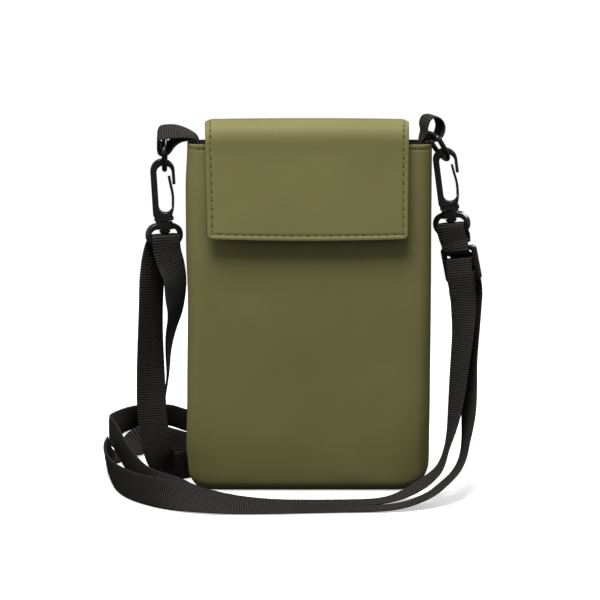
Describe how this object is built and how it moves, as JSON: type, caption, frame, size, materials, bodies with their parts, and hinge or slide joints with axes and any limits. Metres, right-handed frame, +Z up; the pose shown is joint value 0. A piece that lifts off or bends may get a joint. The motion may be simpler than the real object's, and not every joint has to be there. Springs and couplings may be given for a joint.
{
  "type": "phone pouch",
  "caption": "Flat phone pouch in coated fabric with a folded flap, side tabs with D-rings, snap hooks and one long adjustable webbing shoulder strap.",
  "frame": {"origin": "the middle of the flat base that the pouch stands on", "axes": "+Z is up towards the flap's crown, -Y is the side that the flap hangs over, +X is the side with the strap's slider"},
  "size_m": [0.1902, 0.2386, 0.1854],
  "materials": {
    "coated_olive": "matte coated fabric",
    "black_lining": "plain weave",
    "black_webbing": "ribbed webbing",
    "black_plastic": "satin black",
    "steel": "plain"
  },
  "bodies": {
    "pouch": {"front_panel": "coated_olive", "back_panel": "coated_olive", "front_lining": "black_lining", "back_lining": "black_lining", "front_facing": "black_lining", "back_facing": "black_lining", "pouch_magnet": "steel", "flap_seam_strip": "coated_olive", "left_tab": "black_webbing", "right_tab": "black_webbing", "left_drop_back": "black_webbing", "left_drop_front": "black_webbing", "floor_inner": "black_webbing", "floor_outer": "black_webbing", "right_drop_inner": "black_webbing", "right_drop_outer": "black_webbing"},
    "flap_fold": {"flap_crown": "coated_olive", "flap_crown_lining": "black_lining"},
    "flap": {"flap_leaf": "coated_olive", "flap_leaf_lining": "black_lining", "flap_magnet": "steel"},
    "left_clip": {"left_ring": "black_plastic", "left_eye": "black_plastic", "left_strap_fold": "black_webbing"},
    "left_hook": {"left_hook_body": "black_plastic"},
    "left_gate": {"left_gate_leaf": "black_plastic"},
    "right_clip": {"right_ring": "black_plastic", "right_eye": "black_plastic", "right_sewn_end": "black_webbing", "right_upper_strap": "black_webbing"},
    "right_hook": {"right_hook_body": "black_plastic"},
    "right_gate": {"right_gate_leaf": "black_plastic"},
    "strap_slider": {"slider_frame": "black_plastic", "slider_fold": "black_webbing"}
  },
  "joints": [
    {"name": "flap_lift", "type": "hinge", "parent": "pouch", "child": "flap_fold", "pos_m": [0, 0.012, 0.1702], "axis": [-1, 0, 0], "range_deg": [0, 90]},
    {"name": "flap_unbend", "type": "hinge", "parent": "flap_fold", "child": "flap", "pos_m": [0, -0.0136, 0.1702], "axis": [-1, 0, 0], "range_deg": [0, 90]},
    {"name": "left_swing", "type": "hinge", "parent": "pouch", "child": "left_clip", "pos_m": [-0.0706, 0, 0.17245], "axis": [0, 0.9272, 0.3746], "range_deg": [0, 40], "deforming": ["left_drop_back", "left_drop_front"]},
    {"name": "left_swivel", "type": "hinge", "parent": "left_clip", "child": "left_hook", "pos_m": [-0.07094, 0.00142, 0.13337], "axis": [0, 0, 1], "range_deg": [-12, 12]},
    {"name": "left_gate_spring", "type": "hinge", "parent": "left_hook", "child": "left_gate", "pos_m": [-0.06665, 0.00142, 0.14025], "axis": [0, -1, 0], "range_deg": [0, 12], "stiffness_Nm_per_rad": 0.005, "springref_deg": -5.73},
    {"name": "right_swing", "type": "hinge", "parent": "pouch", "child": "right_clip", "pos_m": [0.05955, 0, 0.17585], "axis": [0.2924, -0.9563, 0], "range_deg": [0, 40], "deforming": ["right_drop_inner", "right_drop_outer"]},
    {"name": "right_swivel", "type": "hinge", "parent": "right_clip", "child": "right_hook", "pos_m": [0.06875, 0.00175, 0.13886], "axis": [-0.1305, 0, 0.9914], "range_deg": [-12, 12]},
    {"name": "right_gate_spring", "type": "hinge", "parent": "right_hook", "child": "right_gate", "pos_m": [0.07254, 0.00175, 0.14601], "axis": [0, -1, 0], "range_deg": [0, 12], "stiffness_Nm_per_rad": 0.005, "springref_deg": -5.73},
    {"name": "slider_slide", "type": "slide", "parent": "right_clip", "child": "strap_slider", "axis": [0.081, -0.042, -0.9958], "range_m": [0, 0.03], "deforming": ["right_upper_strap"]}
  ],
  "couplings": [
    {"joint": "flap_unbend", "follows": "flap_lift", "ratio": 1}
  ]
}
